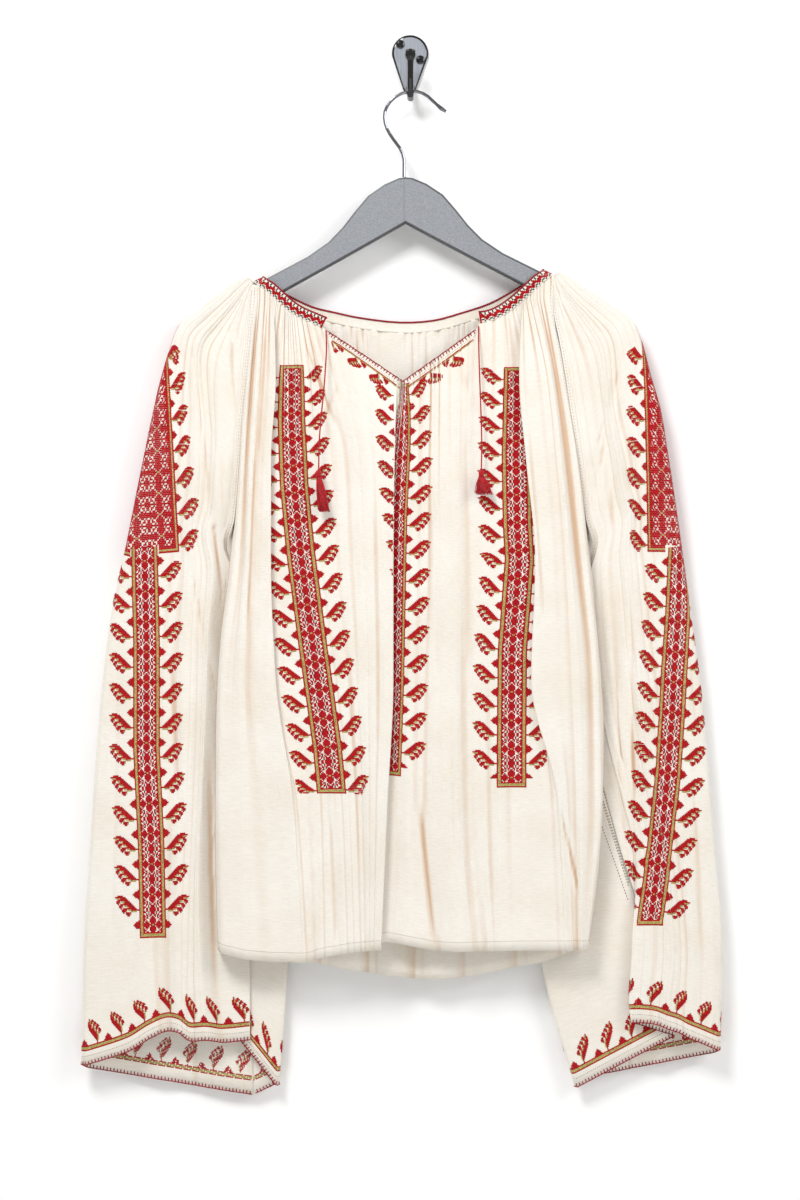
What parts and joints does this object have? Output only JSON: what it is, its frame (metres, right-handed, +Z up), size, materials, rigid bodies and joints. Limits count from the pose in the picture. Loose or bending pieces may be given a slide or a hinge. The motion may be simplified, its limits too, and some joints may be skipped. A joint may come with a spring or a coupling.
{
  "type": "romanian ie blouse on wooden hanger with wall hook",
  "caption": "Embroidered Romanian ie blouse of crinkled cotton gauze with tasselled neck ties, on a painted wooden hanger held by a small steel wall hook.",
  "frame": {"origin": "back face of the wall hook's plate, level with the ball at the tip of its peg", "axes": "+Z up, +Y from the room into the wall, +X to the right as seen from the room"},
  "size_m": [0.6433, 0.0608, 1.0681],
  "materials": {
    "cotton_gauze": "crinkled cream cotton gauze",
    "stitched_band": "cotton band covered with red cross-stitch",
    "red_thread": "twisted red cotton thread",
    "painted_wood": "grey paint, satin",
    "polished_steel": "polished",
    "brushed_plate": "satin grey with a black rim",
    "black_gloss": "gloss black"
  },
  "bodies": {
    "root": {"wall_plate": "brushed_plate", "plate_screw_1": "black_gloss", "plate_screw_2": "black_gloss", "coat_hook": "black_gloss", "hanger_wood": "painted_wood", "hanger_wire": "polished_steel", "collar_band": "stitched_band", "front_panel": "cotton_gauze", "back_panel": "cotton_gauze", "sleeve_left": "cotton_gauze", "sleeve_right": "cotton_gauze", "gore_left": "cotton_gauze", "gore_right": "cotton_gauze", "tie_left": "red_thread", "tie_right": "red_thread", "tassel_left": "red_thread", "tassel_right": "red_thread"}
  },
  "joints": []
}
